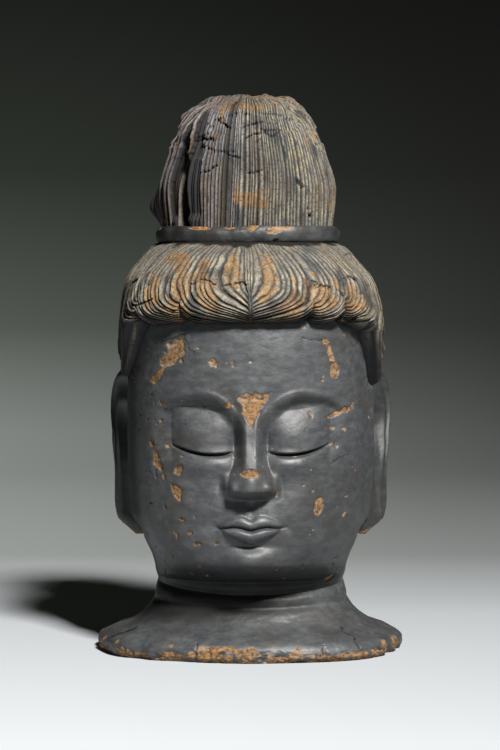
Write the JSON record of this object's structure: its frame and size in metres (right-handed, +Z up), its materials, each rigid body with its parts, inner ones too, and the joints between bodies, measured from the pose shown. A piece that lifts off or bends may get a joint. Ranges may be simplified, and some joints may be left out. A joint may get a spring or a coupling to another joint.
{
  "type": "bodhisattva head",
  "caption": "Life-size bodhisattva head with bound topknot, combed hair, long lobed ears and a neck that flares out to a flat underside.",
  "frame": {"origin": "centre of the flat underside of the neck's flared rim, on the surface it stands on", "axes": "+Z up along the head, face towards -Y, the figure's left ear towards +X"},
  "size_m": [0.2212, 0.2268, 0.4],
  "materials": {
    "black_lacquer": "aged black lacquer, dusty satin, with losses that show an orange-brown ground"
  },
  "bodies": {
    "root": {"bodhisattva_head": "black_lacquer"}
  },
  "joints": []
}
